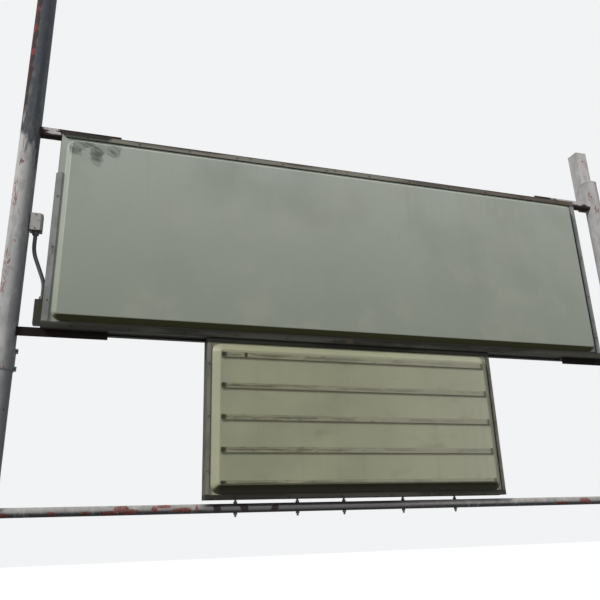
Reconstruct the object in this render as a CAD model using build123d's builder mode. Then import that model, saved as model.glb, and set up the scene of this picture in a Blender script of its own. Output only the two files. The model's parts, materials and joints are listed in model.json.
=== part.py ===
from build123d import *
import math
import os

# Two-post roadside cabinet sign: a wide cabinet with a pan face on each side hangs between two pipe
# posts on four angle arms, and a smaller letter board hangs under it, steadied by a cross pipe.
# Millimetres. X runs along the sign, -Y is the front, +Z is up. The origin is on the ground, midway
# between the posts, in the plane of their centres.

# Posts and their feet
left_post_gap = 114
right_post_gap = 194
post_od = 114.3
post_wall = 6
left_post_rise = 1076
right_post_rise = 225
cap_thickness = 6
foot_side = 400
foot_thickness = 25
foot_corner = 20
anchor_spacing = 300
anchor_hole = 28
gusset_height = 150
gusset_reach = 110
gusset_toe = 20
gusset_thickness = 12
weld_gap = 0.3

# Sleeve over the joint in the left post
sleeve_drop = 170
sleeve_height = 120
sleeve_wall = 5
lug_reach = 15
lug_height = 24
lug_thickness = 16
lug_chamfer = 4

# Square stub behind the top of the right post
stub_side = 100
stub_wall = 5
stub_corner = 8
stub_shift = 45
stub_start = 60
stub_length = 492
stub_hole = 18
stub_hole_drop = 80

# Upper cabinet
upper_width = 3658
upper_height = 1219
upper_depth = 140
upper_bottom = 2655
splice_gap = 1.5
upper_retainer = 36
upper_groove = 8
broken_length = 284
broken_slant = 12

# Letter board under it
lower_width = 1858
lower_height = 895
lower_depth = 100
lower_retainer = 24
lower_groove = 2

# Sections shared by both cabinets. A groove is the strip of a pan's flange that shows between the
# retainer and the return.
rail_wall = 3
retainer_thickness = 12
retainer_lip = 10
retainer_wrap = 20
retainer_bevel = 2
sheet = 3
pan_rise = 28
pan_inset = 72
pan_gap = 1
pan_corner = 14
pan_foot_corner = 60
pan_edge = 10

# Letter tracks on the board: a strip on the face, a rib and a lip, with a groove above and below
# the rib. The lowest has only the groove above it.
track_count = 5
track_height = 30
last_track_height = 17
track_wall = 2
track_groove = 3.5
track_rib = 4
track_end_gap = 14
first_track_gap = 16
last_track_gap = 6

# Arms of steel angle between the posts and the upper cabinet
arm_leg = 50
arm_thickness = 5
arm_root_radius = 4

# Cross pipe and the bolts that tie the board to it, placed as shares of half the board's width
pipe_od = 48.3
pipe_wall = 4
pipe_drop = 20
bolt_shares = (-0.81, -0.43, -0.13, 0.27, 0.64)
bolt_od = 12
bolt_tail = 12
nut_flats = 19
nut_height = 10

# Electrical box, conduit and entry box
box_width = 66
box_height = 100
box_depth = 60
box_rise = 632
box_corner = 5
cover_thickness = 4
cover_width = 56
cover_overhang = 3
entry_width = 55
entry_height = 138
entry_depth = 60
entry_rise = 101
entry_hub_shift = 9
conduit_od = 22
connector_od = 32
connector_length = 22

# Places worked out from the sizes above
post_spacing = upper_width + left_post_gap + right_post_gap + post_od
post_x = post_spacing / 2
post_radius = post_od / 2
sign_x = (left_post_gap - right_post_gap) / 2
upper_top = upper_bottom + upper_height
lower_top = upper_bottom
lower_bottom = lower_top - lower_height
pipe_z = lower_bottom - pipe_drop - pipe_od / 2
sleeve_level = upper_bottom - sleeve_drop
stub_bottom = upper_top + stub_start
stub_top = stub_bottom + stub_length
box_level = upper_bottom + box_rise
entry_level = upper_bottom + entry_rise

os.makedirs("parts", exist_ok=True)


def save(piece, name):
    """Label a finished piece and write it as its own file."""
    piece.label = name
    export_step(piece, f"parts/{name}.step")


def make_post(side, height):
    """A pipe post on its foot plate, closed at the top by a welded cap."""
    x = side * post_x
    with BuildPart() as post:
        with BuildSketch(Plane.XY.offset(foot_thickness)):
            with Locations((x, 0)):
                Circle(post_radius)
                Circle(post_radius - post_wall, mode=Mode.SUBTRACT)
        extrude(amount=height - foot_thickness - cap_thickness)
        with BuildSketch(Plane.XY.offset(height - cap_thickness)):
            with Locations((x, 0)):
                Circle(post_radius)
        extrude(amount=cap_thickness)
        chamfer(post.edges().group_by(Axis.Z)[-1], length=cap_thickness / 2)
    return post.part


def make_foot(side):
    """A foot plate with four anchor holes and four gussets round the post."""
    x = side * post_x
    with BuildPart() as foot:
        with BuildSketch(Plane.XY):
            with Locations((x, 0)):
                RectangleRounded(foot_side, foot_side, foot_corner)
        extrude(amount=foot_thickness)
        for quarter in range(4):
            turn = 90 * quarter
            face = Plane((x, 0, foot_thickness), x_dir=(1, 0, 0), z_dir=(0, -1, 0)).rotated((0, 0, turn))
            with BuildSketch(face):
                with BuildLine():
                    Polyline(
                        (post_radius, 0),
                        (post_radius + gusset_reach, 0),
                        (post_radius + gusset_reach, gusset_toe),
                        (post_radius + gusset_toe, gusset_height),
                        (post_radius, gusset_height),
                        close=True,
                    )
                make_face()
            extrude(amount=gusset_thickness / 2, both=True)
        with Locations((x, 0, foot_thickness)):
            with GridLocations(anchor_spacing, anchor_spacing, 2, 2):
                Hole(anchor_hole / 2, foot_thickness)
    return foot.part


def make_sleeve():
    """A clamped sleeve over the joint in the left post, its two lugs towards the sign."""
    inner = post_radius + weld_gap
    outer = inner + sleeve_wall
    with BuildPart() as sleeve:
        with BuildSketch(Plane.XY.offset(sleeve_level - sleeve_height / 2)):
            with Locations((-post_x, 0)):
                Circle(outer)
        extrude(amount=sleeve_height)
        for end in (-1, 1):
            lug_z = sleeve_level + end * (sleeve_height - lug_height) / 2
            with Locations((-post_x + outer + lug_reach / 2 - sleeve_wall, 0, lug_z)):
                Box(lug_reach, lug_thickness, lug_height)
        chamfer(sleeve.edges().filter_by(Axis.Z).group_by(Axis.X)[-1], length=lug_chamfer)
        with Locations((-post_x, 0, sleeve_level)):
            Cylinder(inner, sleeve_height, mode=Mode.SUBTRACT)
    return sleeve.part


def make_stub():
    """A length of square tube welded behind the top of the right post, with a bolt hole."""
    x = post_x + stub_shift
    y = post_radius + weld_gap + stub_side / 2
    with BuildPart() as stub:
        with BuildSketch(Plane.XY.offset(stub_bottom)):
            with Locations((x, y)):
                RectangleRounded(stub_side, stub_side, stub_corner)
                RectangleRounded(
                    stub_side - 2 * stub_wall,
                    stub_side - 2 * stub_wall,
                    stub_corner - stub_wall,
                    mode=Mode.SUBTRACT,
                )
        extrude(amount=stub_top - stub_bottom)
        with BuildSketch(Plane.XZ.offset(-y)):
            with Locations((x, stub_top - stub_hole_drop)):
                Circle(stub_hole / 2)
        extrude(amount=stub_side, both=True, mode=Mode.SUBTRACT)
    return stub.part


def make_arm(side, rests_on_top, overlap):
    """A steel angle, coped to its post, that lies along the top or the bottom of the cabinet."""
    up = 1 if rests_on_top else -1
    seat = upper_top - retainer_lip if rests_on_top else upper_bottom + retainer_lip
    cabinet_end = sign_x + side * upper_width / 2
    start = side * post_x
    end = cabinet_end - side * overlap
    with BuildPart() as arm:
        with BuildSketch(Plane.YZ.offset(min(start, end))):
            with BuildLine():
                Polyline(
                    (-arm_leg / 2, seat),
                    (arm_leg / 2, seat),
                    (arm_leg / 2, seat + up * arm_thickness),
                    (-arm_leg / 2 + arm_thickness, seat + up * arm_thickness),
                    (-arm_leg / 2 + arm_thickness, seat + up * arm_leg),
                    (-arm_leg / 2, seat + up * arm_leg),
                    close=True,
                )
            make_face()
        extrude(amount=abs(end - start))
        root = arm.edges().filter_by(Axis.X).sort_by_distance(
            (0, -arm_leg / 2 + arm_thickness, seat + up * arm_thickness)
        )[0]
        fillet(root, arm_root_radius)
        with Locations((start, 0, seat)):
            Cylinder(post_radius + weld_gap, 4 * arm_leg, mode=Mode.SUBTRACT)
    return arm.part


def bar_outline(where, width, height, band):
    """Corners in X and Z of one mitred bar of a frame: outer edge first, then inner edge."""
    right = width / 2
    high = height / 2
    inner_right = right - band
    inner_high = high - band
    outlines = {
        "top": [(-right, high), (right, high), (inner_right, inner_high), (-inner_right, inner_high)],
        "bottom": [(-right, -high), (right, -high), (inner_right, -inner_high), (-inner_right, -inner_high)],
        "left": [(-right, -high), (-right, high), (-inner_right, inner_high), (-inner_right, -inner_high)],
        "right": [(right, -high), (right, high), (inner_right, inner_high), (inner_right, -inner_high)],
    }
    return outlines[where]


def cabinet_plane(cabinet, y):
    """A plane parallel to the faces of a cabinet, centred on it, that looks to the front."""
    return Plane((sign_x, y, cabinet["z"]), x_dir=(1, 0, 0), z_dir=(0, -1, 0))


def make_rail(where, cabinet):
    """One mitred side of a cabinet: an extruded channel, open to the inside."""
    width = cabinet["width"] - 2 * retainer_lip
    height = cabinet["height"] - 2 * retainer_lip
    depth = cabinet["depth"] - 2 * retainer_thickness
    flange = cabinet["retainer"] - retainer_lip
    with BuildPart() as rail:
        with BuildSketch(cabinet_plane(cabinet, 0)):
            with BuildLine():
                Polyline(*bar_outline(where, width, height, flange), close=True)
            make_face()
        extrude(amount=depth / 2, both=True)
        with Locations((sign_x, 0, cabinet["z"])):
            Box(
                width - 2 * rail_wall,
                depth - 2 * rail_wall,
                height - 2 * rail_wall,
                mode=Mode.SUBTRACT,
            )
    return rail.part


def make_retainer(where, face, cabinet, half=0, broken=False):
    """One mitred bar that clamps the pan's flange and wraps back over the side of the cabinet.

    half keeps only the left (-1) or the right (1) length of a spliced bar. A broken bar has lost
    its top end.
    """
    width = cabinet["width"]
    height = cabinet["height"]
    half_depth = cabinet["depth"] / 2
    back_y = half_depth - retainer_thickness - retainer_wrap
    pocket_y = half_depth - retainer_thickness + sheet
    with BuildPart() as retainer:
        with BuildSketch(cabinet_plane(cabinet, face * half_depth)):
            with BuildLine():
                Polyline(*bar_outline(where, width, height, cabinet["retainer"]), close=True)
            make_face()
        extrude(amount=face * (half_depth - back_y))
        along = Axis.X if where in ("top", "bottom") else Axis.Z
        front_edges = retainer.edges().filter_by(along).group_by(Axis.Y)[0 if face < 0 else -1]
        chamfer(front_edges, length=retainer_bevel)
        with Locations((sign_x, face * (back_y + pocket_y) / 2, cabinet["z"])):
            Box(
                width - 2 * retainer_lip,
                pocket_y - back_y,
                height - 2 * retainer_lip,
                mode=Mode.SUBTRACT,
            )
        if half:
            with Locations((sign_x - half * (width - splice_gap) / 2, 0, cabinet["z"])):
                Box(width, cabinet["depth"], height, mode=Mode.SUBTRACT)
        if broken:
            top = height / 2
            left = -width / 2
            inner = left + cabinet["retainer"]
            with BuildSketch(cabinet_plane(cabinet, 0)):
                with BuildLine():
                    Polyline(
                        (left, top),
                        (left, top - broken_length),
                        (inner, top - broken_length + broken_slant),
                        (inner, top),
                        close=True,
                    )
                make_face()
            extrude(amount=cabinet["depth"], both=True, mode=Mode.SUBTRACT)
    return retainer.part


def make_pan(face, cabinet):
    """A pan face formed from sheet: a flat flange, a drafted return and a raised flat front."""
    flange_width = cabinet["width"] - 2 * retainer_lip - 2 * pan_gap
    flange_height = cabinet["height"] - 2 * retainer_lip - 2 * pan_gap
    base_width = cabinet["width"] - 2 * cabinet["retainer"] - 2 * cabinet["groove"]
    base_height = cabinet["height"] - 2 * cabinet["retainer"] - 2 * cabinet["groove"]
    raised_width = cabinet["width"] - 2 * pan_inset
    raised_height = cabinet["height"] - 2 * pan_inset
    flange_back = cabinet["depth"] / 2 - retainer_thickness
    flange_front = flange_back + sheet
    raised = cabinet["depth"] / 2 + pan_rise
    with BuildPart() as pan:
        with BuildSketch(cabinet_plane(cabinet, face * flange_front)):
            RectangleRounded(base_width, base_height, pan_foot_corner)
        with BuildSketch(cabinet_plane(cabinet, face * raised)):
            RectangleRounded(raised_width, raised_height, pan_corner)
        loft()
        front_edges = pan.faces().sort_by(Axis.Y)[0 if face < 0 else -1].edges()
        fillet(front_edges, pan_edge)
        with BuildSketch(cabinet_plane(cabinet, face * flange_back)):
            Rectangle(flange_width, flange_height)
        extrude(amount=-face * sheet)
        with BuildSketch(cabinet_plane(cabinet, face * flange_back)):
            RectangleRounded(base_width - 2 * sheet, base_height - 2 * sheet, pan_foot_corner - sheet)
        with BuildSketch(cabinet_plane(cabinet, face * (raised - sheet))):
            RectangleRounded(raised_width - 2 * sheet, raised_height - 2 * sheet, pan_corner - sheet)
        loft(mode=Mode.SUBTRACT)
    return pan.part


def make_track_bars(face, start, thickness, is_rib):
    """One flat bar for each letter track on a face: its strips, its ribs or its lips.

    start is how far the bars begin in front of the raised face.
    """
    length = lower_width - 2 * (pan_inset + track_end_gap)
    top = lower["z"] + lower_height / 2 - pan_inset - first_track_gap
    bottom = lower["z"] - lower_height / 2 + pan_inset + last_track_gap
    pitch = (top - last_track_height - bottom) / (track_count - 1)
    near = lower_depth / 2 + pan_rise + start
    with BuildPart() as bars:
        for number in range(track_count):
            is_last = number == track_count - 1
            height = last_track_height if is_last else track_height
            high = top - number * pitch
            middle = high - height / 2
            rib_middle = high - height + track_rib / 2 if is_last else middle
            with Locations((sign_x, face * (near + thickness / 2), rib_middle if is_rib else middle)):
                Box(length, thickness, track_rib if is_rib else height)
    return bars.part


def make_cross_pipe():
    """The pipe between the posts, its ends coped round them."""
    with BuildPart() as pipe:
        with BuildSketch(Plane.YZ.offset(-post_x)):
            with Locations((0, pipe_z)):
                Circle(pipe_od / 2)
                Circle(pipe_od / 2 - pipe_wall, mode=Mode.SUBTRACT)
        extrude(amount=post_spacing)
        with Locations((-post_x, 0, pipe_z), (post_x, 0, pipe_z)):
            Cylinder(post_radius + weld_gap, 2 * pipe_od, mode=Mode.SUBTRACT)
    return pipe.part


def make_bolts():
    """The bolts that tie the board's bottom rail to the pipe, as far as they show: a shank and a nut
    above the pipe, and a nut and the bolt's tail below it."""
    rail_under = lower_bottom + retainer_lip
    pipe_top = pipe_z + pipe_od / 2
    pipe_under = pipe_z - pipe_od / 2
    places = [(sign_x + share * lower_width / 2, 0) for share in bolt_shares]
    tail_length = nut_height + bolt_tail
    with BuildPart() as bolts:
        for shank, length, nut in (
            (pipe_top, rail_under - pipe_top, pipe_top),
            (pipe_under - tail_length, tail_length, pipe_under - nut_height),
        ):
            with BuildSketch(Plane.XY.offset(shank)):
                with Locations(*places):
                    Circle(bolt_od / 2)
            extrude(amount=length)
            with BuildSketch(Plane.XY.offset(nut)):
                with Locations(*places):
                    RegularPolygon(nut_flats / 2, 6, major_radius=False)
            extrude(amount=nut_height)
    return bolts.part


def make_junction_box():
    """The cast box on the left post, with the hub that takes the conduit under it."""
    left = -post_x + post_radius + weld_gap
    with BuildPart() as box:
        with BuildSketch(Plane.XY.offset(box_level - box_height / 2)):
            with Locations((left + box_width / 2, 0)):
                RectangleRounded(box_width, box_depth, box_corner)
        extrude(amount=box_height)
        with BuildSketch(Plane.XY.offset(box_level - box_height / 2)):
            with Locations((left + box_width / 2, 0)):
                Circle(connector_od / 2)
        extrude(amount=-connector_length)
    return box.part


def make_box_cover():
    """The flat cover on the front of the junction box."""
    left = -post_x + post_radius + weld_gap
    middle = Plane(
        (left + cover_width / 2, -box_depth / 2, box_level), x_dir=(1, 0, 0), z_dir=(0, -1, 0)
    )
    with BuildPart() as cover:
        with BuildSketch(middle):
            RectangleRounded(cover_width, box_height + 2 * cover_overhang, box_corner)
        extrude(amount=cover_thickness)
        chamfer(cover.edges().group_by(Axis.Y)[0], length=cover_thickness / 4)
    return cover.part


def make_entry_box():
    """The small box on the cabinet's left end where the conduit goes in."""
    right = sign_x - upper_width / 2 + retainer_lip
    with BuildPart() as box:
        with BuildSketch(Plane.XY.offset(entry_level - entry_height / 2)):
            with Locations((right - entry_width / 2, 0)):
                RectangleRounded(entry_width, entry_depth, box_corner)
        extrude(amount=entry_height)
        with BuildSketch(Plane.XY.offset(entry_level + entry_height / 2)):
            with Locations((right - entry_width / 2 + entry_hub_shift, 0)):
                Circle(connector_od / 2)
        extrude(amount=connector_length)
    return box.part


def make_conduit():
    """The flexible conduit, one slack bend from the junction box down to the entry box."""
    top_x = -post_x + post_radius + weld_gap + box_width / 2
    low_x = sign_x - upper_width / 2 + retainer_lip - entry_width / 2 + entry_hub_shift
    top_z = box_level - box_height / 2 - connector_length
    low_z = entry_level + entry_height / 2 + connector_length
    fall = top_z - low_z
    route = [
        (top_x, 0, top_z),
        (top_x, 0, top_z - 0.28 * fall),
        (low_x, 0, top_z - 0.78 * fall),
        (low_x, 0, low_z),
    ]
    radii = []
    for before, corner, after in zip(route, route[1:], route[2:]):
        run_in = Vector(*corner) - Vector(*before)
        run_out = Vector(*after) - Vector(*corner)
        half_turn = math.radians(run_in.get_angle(run_out)) / 2
        radii.append(0.45 * min(run_in.length, run_out.length) / math.tan(half_turn))
    print("conduit bend radii", [round(radius) for radius in radii])
    with BuildPart() as conduit:
        with BuildLine():
            FilletPolyline(*route, radius=radii)
        with BuildSketch(Plane(route[0], z_dir=(0, 0, -1))):
            Circle(conduit_od / 2)
        sweep()
    return conduit.part


upper = {
    "z": upper_bottom + upper_height / 2,
    "width": upper_width,
    "height": upper_height,
    "depth": upper_depth,
    "retainer": upper_retainer,
    "groove": upper_groove,
}
lower = {
    "z": lower_bottom + lower_height / 2,
    "width": lower_width,
    "height": lower_height,
    "depth": lower_depth,
    "retainer": lower_retainer,
    "groove": lower_groove,
}

# Posts: name, side of the sign, rise above the upper cabinet
for name, side, rise in [("left", -1, left_post_rise), ("right", 1, right_post_rise)]:
    save(make_post(side, upper_top + rise), f"post_{name}")
    save(make_foot(side), f"post_foot_{name}")
save(make_sleeve(), "post_sleeve")
save(make_stub(), "post_stub")

# Arms: name, side of the sign, on top of the cabinet, overlap with the cabinet
for name, side, rests_on_top, overlap in [
    ("arm_top_left", -1, True, 350),
    ("arm_top_right", 1, True, 300),
    ("arm_bottom_left", -1, False, 350),
    ("arm_bottom_right", 1, False, 300),
]:
    save(make_arm(side, rests_on_top, overlap), name)

# Cabinets: four rails each, and on each face a pan and its retainers. The upper cabinet's long
# retainers are spliced at the middle, and its front left one is broken.
for title, cabinet in [("upper", upper), ("lower", lower)]:
    for where in ("top", "bottom", "left", "right"):
        save(make_rail(where, cabinet), f"{title}_rail_{where}")
    for face_name, face in [("front", -1), ("back", 1)]:
        save(make_pan(face, cabinet), f"{title}_pan_{face_name}")
        for where in ("top", "bottom"):
            name = f"{title}_retainer_{face_name}_{where}"
            if cabinet is upper:
                save(make_retainer(where, face, cabinet, half=-1), f"{name}_left")
                save(make_retainer(where, face, cabinet, half=1), f"{name}_right")
            else:
                save(make_retainer(where, face, cabinet), name)
        for where in ("left", "right"):
            is_broken = cabinet is upper and face_name == "front" and where == "left"
            name = f"{title}_retainer_{face_name}_{where}"
            save(make_retainer(where, face, cabinet, broken=is_broken), name)

# Letter tracks on both faces of the board: name, start in front of the face, thickness, whether ribs
for name, start, thickness, is_rib in [
    ("strips", 0, track_wall, False),
    ("ribs", track_wall, track_groove, True),
    ("lips", track_wall + track_groove, track_wall, False),
]:
    for face_name, face in [("front", -1), ("back", 1)]:
        save(make_track_bars(face, start, thickness, is_rib), f"track_{name}_{face_name}")

# Cross pipe and its bolts
save(make_cross_pipe(), "cross_pipe")
save(make_bolts(), "pipe_bolts")

# Wiring
save(make_junction_box(), "junction_box")
save(make_box_cover(), "junction_box_cover")
save(make_entry_box(), "entry_box")
save(make_conduit(), "conduit")
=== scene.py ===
# %% [markdown]
# # A two-post roadside cabinet sign
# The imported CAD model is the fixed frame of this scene: posts, cabinets, pans, retainers, arms and
# wiring are already in their places, in metres. This lesson gives them paint, aged plastic, dirt and
# rust, and then adds what a sign has besides its structure: screws, bolts, track stops and welds.

# %% Load the frame
import json
import math

import bmesh
import bpy
from mathutils import Matrix, Quaternion, Vector


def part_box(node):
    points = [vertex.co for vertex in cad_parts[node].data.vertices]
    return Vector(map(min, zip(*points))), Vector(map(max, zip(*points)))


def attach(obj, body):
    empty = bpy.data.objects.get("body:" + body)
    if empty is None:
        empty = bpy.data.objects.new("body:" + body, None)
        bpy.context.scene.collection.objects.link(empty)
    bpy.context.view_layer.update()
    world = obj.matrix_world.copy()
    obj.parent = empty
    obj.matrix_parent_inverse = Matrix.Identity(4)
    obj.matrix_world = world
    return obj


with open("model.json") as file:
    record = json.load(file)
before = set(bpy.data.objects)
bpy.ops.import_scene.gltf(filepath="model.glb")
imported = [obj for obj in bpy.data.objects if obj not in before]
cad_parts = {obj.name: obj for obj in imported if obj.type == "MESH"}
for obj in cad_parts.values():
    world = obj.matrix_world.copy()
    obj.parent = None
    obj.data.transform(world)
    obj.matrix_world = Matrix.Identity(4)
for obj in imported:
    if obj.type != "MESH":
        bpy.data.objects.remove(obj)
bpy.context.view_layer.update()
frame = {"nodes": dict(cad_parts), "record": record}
nodes = frame["nodes"]
print(len(nodes), "CAD nodes")

# %% [markdown]
# ## The camera
# The camera was worked out from the corners of the sign in the photograph. It stands at eye height,
# near the left post, and looks up and to the right. Turning about the up axis, then tilting up,
# then rolling about the line of sight gives its attitude.

# %% Camera
CAMERA_PLACE = (-1.566, -3.635, 1.600)
YAW = math.radians(17.99)
PITCH = math.radians(19.38)
ROLL = math.radians(-1.84)

bpy.ops.object.camera_add(location=CAMERA_PLACE)
camera = bpy.context.object
camera.name = "sign_camera"
turn = Quaternion((0, 0, 1), -YAW)
tilt = Quaternion((1, 0, 0), math.pi / 2 + PITCH)
roll = Quaternion((0, 0, 1), ROLL)
camera.rotation_euler = (turn @ tilt @ roll).to_euler()
camera.data.sensor_width = 36
camera.data.lens = 39.0
bpy.context.scene.camera = camera
bpy.context.scene.view_settings.view_transform = "Standard"
print("camera at", CAMERA_PLACE)

# %% [markdown]
# ## Colours, nodes and real sizes
# A colour picked on a screen is sRGB, and the renderer works in linear light, so one function turns
# a hex value into the numbers that a socket wants. Another adds a node with its settings and links
# and hands back its output, so that each material reads as a short chain. A third turns the size of
# a spot, a run or a grain in millimetres into the scale that a texture wants.


# %% Helpers for materials
def linear(hex_colour):
    """An sRGB hex value as the linear RGBA that a colour socket takes."""
    channels = [int(hex_colour[i:i + 2], 16) / 255 for i in (1, 3, 5)]
    return [c / 12.92 if c <= 0.04045 else ((c + 0.055) / 1.055) ** 2.4 for c in channels] + [1.0]


def add_node(tree, kind, inputs=None, out=0, **settings):
    """Add one node, set it, link or set its inputs, and return one of its outputs."""
    node = tree.nodes.new("ShaderNode" + kind)
    for name, value in settings.items():
        setattr(node, name, value)
    for socket, value in (inputs or {}).items():
        if isinstance(value, bpy.types.NodeSocket):
            tree.links.new(value, node.inputs[socket])
        else:
            node.inputs[socket].default_value = value
    return node.outputs[out] if node.outputs else node


def repeats(*sizes_mm):
    """How often patterns of these sizes in millimetres repeat in a metre."""
    return [1000 / size for size in sizes_mm]


# A Mix node on colours has its factor, its two colours and its result at these numbers.
FACTOR, UNDER, OVER, MIXED = 0, 6, 7, 2
SMOOTH = "SMOOTHSTEP"
print("runs that repeat each 25 mm have a scale of", repeats(25))

# %% [markdown]
# ## Steps that the finishes share
# Each finish starts from an empty tree and the place on the sign, in metres. A fade says at which
# places, or on which side of a piece, something applies, and patches say it with noise. Flakes,
# stains and a painted shadow of leaves that the photograph shows in one spot are listed as blots,
# each a centre and three radii in metres, and noise frays their edges. Masks are combined, and coats
# of colour go over one another, each where its mask says. Each finish ends in one shader, with
# bumps as deep as the real ones.

# %% Start, masks, coats and end of a finish
finishes = {}


def start_finish(slot, name):
    """A new material for a slot, with an empty tree, and the place that its patterns follow."""
    material = bpy.data.materials.new(name)
    material.use_nodes = True
    tree = material.node_tree
    tree.nodes.clear()
    finishes[slot] = material
    return tree, add_node(tree, "TexCoord", out="Object")


def fade(tree, vector, axis, start, full, most=1.0, least=0.0, **settings):
    """From least to most as a vector's part along one axis goes from start to full."""
    part = add_node(tree, "SeparateXYZ", {"Vector": vector}, out=axis)
    return add_node(tree, "MapRange", {"Value": part, "From Min": start, "From Max": full,
                                       "To Min": least, "To Max": most}, **settings)


def patches(tree, place, sizes_mm, detail, start, full, most=1.0):
    """Noise with patches of these sizes along X, Y and Z, as a mask from 0 to most."""
    scaled = add_node(tree, "Mapping", {"Vector": place, "Scale": repeats(*sizes_mm)})
    noise = add_node(tree, "TexNoise", {"Vector": scaled, "Scale": 1.0, "Detail": detail})
    return add_node(tree, "MapRange", {"Value": noise, "From Min": start, "From Max": full,
                                       "To Max": most}, interpolation_type=SMOOTH)


def fray_blots(tree, place, frayed, table):
    """1 inside listed blots, with edges frayed by a noise from 0 to 1.

    A blot is whole where its distance and its fray add up to 1.6, and gone where they reach 1.9.
    """
    nearest = None
    for centre, radii in table:
        scale = [1 / radius for radius in radii]
        shift = [-middle / radius for middle, radius in zip(centre, radii)]
        local = add_node(tree, "Mapping", {"Vector": place, "Scale": scale, "Location": shift})
        far = add_node(tree, "VectorMath", {0: local}, out="Value", operation="LENGTH")
        if nearest is not None:
            far = add_node(tree, "Math", {0: nearest, 1: far}, operation="MINIMUM")
        nearest = far
    edge = add_node(tree, "Math", {0: frayed, 1: 1.6, 2: nearest}, operation="MULTIPLY_ADD")
    return add_node(tree, "MapRange", {"Value": edge, "From Min": 1.9, "From Max": 1.6},
                    interpolation_type=SMOOTH)


def combine(tree, operation, mask, *others):
    """Join masks: MULTIPLY keeps where all of them apply, and MAXIMUM where any does."""
    for other in others:
        mask = add_node(tree, "Math", {0: mask, 1: other}, operation=operation)
    return mask


def lay_coats(tree, colour, coats):
    """Lay coats over a first colour, each where its mask says. A colour may be a hex value."""
    for mask, coat in coats:
        under, over = [linear(shade) if isinstance(shade, str) else shade for shade in (colour, coat)]
        colour = add_node(tree, "Mix", {FACTOR: mask, UNDER: under, OVER: over}, MIXED, data_type="RGBA")
    return colour


def end_finish(tree, colour, roughness, height, depth_mm, metallic=0.0, gloss=0.5):
    """The shader, with bumps as deep as the real ones. Dirt and rust have little gloss."""
    bump = add_node(tree, "Bump", {"Height": height, "Strength": 1.0, "Distance": depth_mm / 1000})
    shader = add_node(tree, "BsdfPrincipled", {"Base Color": colour, "Roughness": roughness,
                                               "Metallic": metallic, "Specular IOR Level": gloss,
                                               "Normal": bump})
    add_node(tree, "OutputMaterial", {"Surface": shader})


# Levels that the paint and the dirt keep to.
PIPE_LEVEL = (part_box("cross_pipe")[0].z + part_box("cross_pipe")[1].z) / 2
BOARD_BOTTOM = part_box("lower_retainer_front_bottom")[0].z
UPPER_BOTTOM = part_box("upper_retainer_front_bottom_left")[0].z
UPPER_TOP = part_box("upper_retainer_front_top_left")[1].z
print("cabinets from", round(BOARD_BOTTOM, 3), "to", round(UPPER_TOP, 3), "m")

# %% [markdown]
# ## Weathered enamel over red primer
# The posts and the cross pipe are steel pipe, brushed with red oxide primer and then with white
# enamel. Chalking has dulled the white, rain has left grey runs down it, and it has flaked off in
# speckled patches that show the primer and, in the oldest ones, dark rust. Under the board the pipe
# is dull mauve, painted dark as the board's shadow on it, with some dirt. Small flakes come from
# noise, and the large ones are placed one by one.

# %% Post paint, where it has flaked
SLEEVE_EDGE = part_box("post_sleeve")[0].z
POST_FLAKES = [
    ((-2.070, -0.050, SLEEVE_EDGE + 0.006), (0.050, 0.030, 0.016)),
    ((-2.064, -0.052, 3.64), (0.018, 0.020, 0.026)),
    ((-2.084, -0.042, 3.44), (0.036, 0.034, 0.10)),
    ((-2.051, -0.056, 3.145), (0.012, 0.020, 0.012)),
    ((-2.084, -0.040, 2.98), (0.034, 0.030, 0.13)),
    ((1.996, -0.036, 3.97), (0.014, 0.020, 0.05)),
    ((2.020, -0.055, 3.84), (0.022, 0.020, 0.05)),
]
POST_STREAKS = [
    ((-2.080, -0.038, 4.72), (0.030, 0.030, 0.28)),
    ((-2.084, -0.042, 4.42), (0.028, 0.028, 0.12)),
    ((-2.088, -0.040, 4.26), (0.024, 0.026, 0.13)),
    ((-2.090, -0.038, 4.10), (0.018, 0.024, 0.12)),
    ((-2.066, -0.052, 3.655), (0.010, 0.020, 0.020)),
]
PIPE_FLAKES = [
    ((-1.955, -0.02, 1.705), (0.030, 0.03, 0.012)),
    ((-1.731, -0.02, 1.706), (0.026, 0.03, 0.012)),
    ((-1.569, -0.02, 1.706), (0.020, 0.03, 0.010)),
    ((-1.443, -0.02, 1.702), (0.046, 0.03, 0.012)),
    ((-1.390, -0.02, 1.722), (0.036, 0.03, 0.022)),
    ((-1.335, -0.02, 1.708), (0.036, 0.03, 0.014)),
    ((-1.226, -0.02, 1.718), (0.020, 0.03, 0.022)),
    ((-1.172, -0.02, 1.730), (0.052, 0.03, 0.012)),
    ((-1.082, -0.02, 1.712), (0.062, 0.03, 0.014)),
    ((-1.004, -0.02, 1.715), (0.014, 0.03, 0.030)),
    ((1.310, -0.02, 1.704), (0.045, 0.03, 0.010)),
    ((1.485, -0.02, 1.715), (0.050, 0.03, 0.020)),
]
PIPE_STAINS = [
    ((-0.896, -0.02, 1.720), (0.020, 0.03, 0.040)),
    ((-0.749, -0.02, 1.720), (0.024, 0.03, 0.040)),
    ((-0.575, -0.02, 1.710), (0.022, 0.03, 0.030)),
]
print(len(POST_FLAKES + POST_STREAKS + PIPE_FLAKES), "flaked patches")

# %% Post paint, its coats
tree, place = start_finish("post_paint", "white_enamel_over_primer")
across = add_node(tree, "SeparateXYZ", {"Vector": place}, out="X")
level = add_node(tree, "SeparateXYZ", {"Vector": place}, out="Z")
facing = add_node(tree, "NewGeometry", out="Normal")
to_right = add_node(tree, "SeparateXYZ", {"Vector": facing}, out="X")
upwards = add_node(tree, "SeparateXYZ", {"Vector": facing}, out="Z")
cloud = patches(tree, place, (600, 600, 900), 2.0, 0.42, 0.66)
# The side of a post that looks right, away from the sun, is painted darker as shade, and darker still
# lower down.
shaded_right_side = fade(tree, facing, "X", 0.15, 0.95, 0.85)
lower = fade(tree, place, "Z", 2.9, 2.4)
# The coat for that side is painted shade, darker below 2.9 m.
dust = lay_coats(tree, "#686c70", [(lower, "#3d4349")])
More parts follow.
